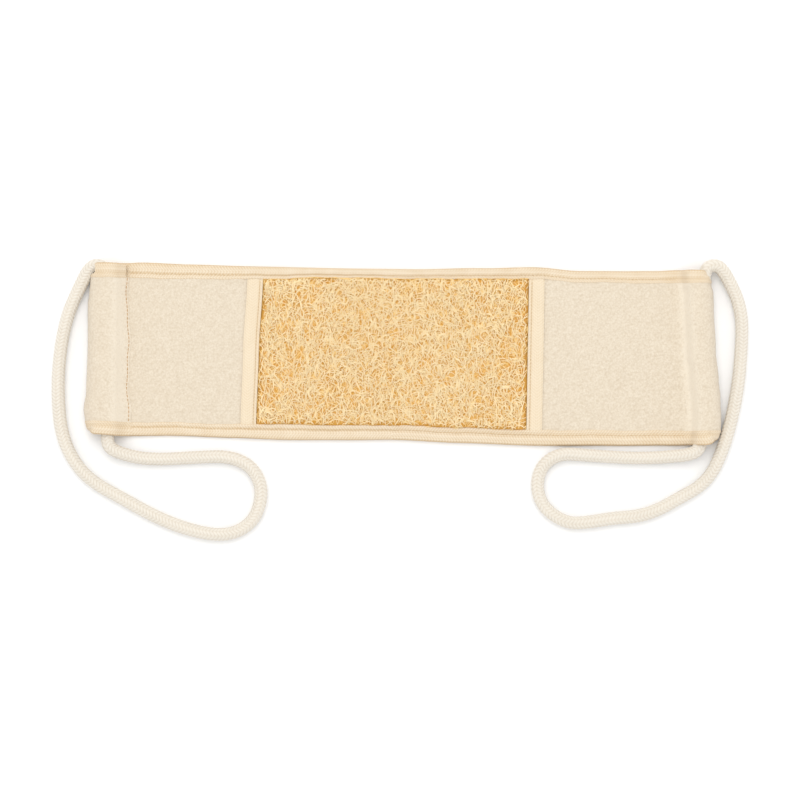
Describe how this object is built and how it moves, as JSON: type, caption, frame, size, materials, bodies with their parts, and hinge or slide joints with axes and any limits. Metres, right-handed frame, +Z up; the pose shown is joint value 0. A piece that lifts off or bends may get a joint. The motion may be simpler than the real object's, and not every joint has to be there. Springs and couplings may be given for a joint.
{
  "type": "loofah back scrubber",
  "caption": "A loofah back scrubber: a terry strap with bound edges, a loofah pad sewn on its front and a braided cord hand loop at each end.",
  "frame": {"origin": "The middle of the strap's underside, on the surface that it lies on.", "axes": "+X runs along the strap towards the end whose casing is turned to the back, +Y across it towards the edge that the cords leave first, +Z up out of the loofah side."},
  "size_m": [0.4883, 0.1993, 0.0159],
  "materials": {
    "loofah": "coarse dried plant fibre",
    "terry": "cream cotton terry",
    "tape": "woven cotton tape",
    "thread": "cotton sewing thread",
    "cord": "braided soft cotton"
  },
  "bodies": {
    "pad": {"loofah_pad": "loofah", "centre_terry_backing": "terry", "upper_centre_binding": "tape", "lower_centre_binding": "tape", "upper_centre_stitching": "thread", "lower_centre_stitching": "thread", "left_cross_tape": "tape", "right_cross_tape": "tape", "left_cross_stitching": "thread", "right_cross_stitching": "thread"},
    "left_wing": {"left_terry_panel": "terry", "left_casing_flap": "terry", "left_upper_binding": "tape", "left_lower_binding": "tape", "left_upper_flap_binding": "tape", "left_lower_flap_binding": "tape", "left_upper_stitching": "thread", "left_lower_stitching": "thread", "left_casing_seam": "thread", "left_bar_tacks": "thread"},
    "right_wing": {"right_terry_panel": "terry", "right_casing_roll": "terry", "right_casing_flap": "terry", "right_upper_binding": "tape", "right_lower_binding": "tape", "right_upper_roll_binding": "tape", "right_lower_roll_binding": "tape", "right_upper_stitching": "thread", "right_lower_stitching": "thread", "right_casing_seam": "thread"},
    "left_handle": {"left_handle_cord": "cord", "left_cord_upper_end": "cord", "left_cord_lower_end": "cord", "left_cord_whipping": "thread"},
    "right_handle": {"right_handle_cord": "cord", "right_cord_upper_end": "cord", "right_cord_lower_end": "cord", "right_cord_whipping": "thread"}
  },
  "joints": [
    {"name": "left_fold", "type": "hinge", "parent": "pad", "child": "left_wing", "pos_m": [-0.11095, 0, 0.0048], "axis": [0, 1, 0], "range_deg": [0, 90]},
    {"name": "right_fold", "type": "hinge", "parent": "pad", "child": "right_wing", "pos_m": [0.09955, 0, 0.0048], "axis": [0, -1, 0], "range_deg": [0, 90]},
    {"name": "left_loop_swing", "type": "hinge", "parent": "left_wing", "child": "left_handle", "pos_m": [-0.205, 0, 0.00825], "axis": [0, -1, 0], "range_deg": [0, 90]},
    {"name": "right_loop_swing", "type": "hinge", "parent": "right_wing", "child": "right_handle", "pos_m": [0.2105, 0, 0.00825], "axis": [0, 1, 0], "range_deg": [0, 90]}
  ]
}
